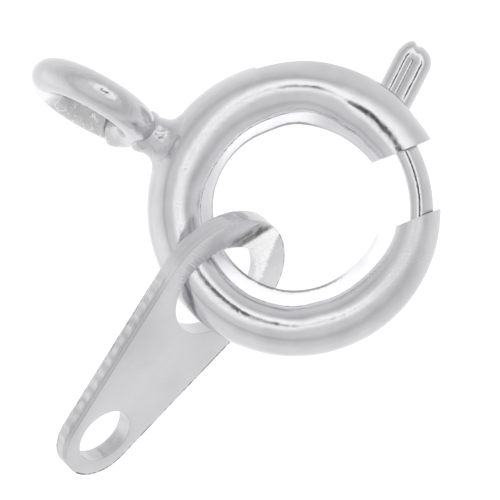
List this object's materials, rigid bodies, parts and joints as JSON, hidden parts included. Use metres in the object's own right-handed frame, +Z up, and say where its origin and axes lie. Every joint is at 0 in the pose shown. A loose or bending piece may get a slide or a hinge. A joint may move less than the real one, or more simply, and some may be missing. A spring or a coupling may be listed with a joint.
{
  "type": "spring ring clasp",
  "caption": "Round spring ring clasp with a sliding latch, a soldered connector loop and a flat chain tab hanging on the ring.",
  "frame": {"origin": "middle of the footprint box on the table, under the clasp as it lies", "axes": "+Z up from the table, the ring's axis leans from it by under ten degrees; the gap opens towards +X, the connector loop points to -X +Y and the chain tab to -X -Y"},
  "size_m": [0.0098, 0.0104, 0.0032],
  "materials": {
    "case_metal": "polished",
    "latch_metal": "polished",
    "tab_metal": "polished"
  },
  "bodies": {
    "case": {"case_ring": "case_metal", "chain_tab": "tab_metal"},
    "latch": {"latch": "latch_metal"}
  },
  "joints": [
    {"name": "latch_slide", "type": "hinge", "parent": "case", "child": "latch", "pos_m": [0.00141, 0.00115, 0.00118], "axis": [0.1229, 0.0615, 0.9905], "range_deg": [0, 47], "stiffness_Nm_per_rad": 0.0025, "springref_deg": -28.65}
  ]
}
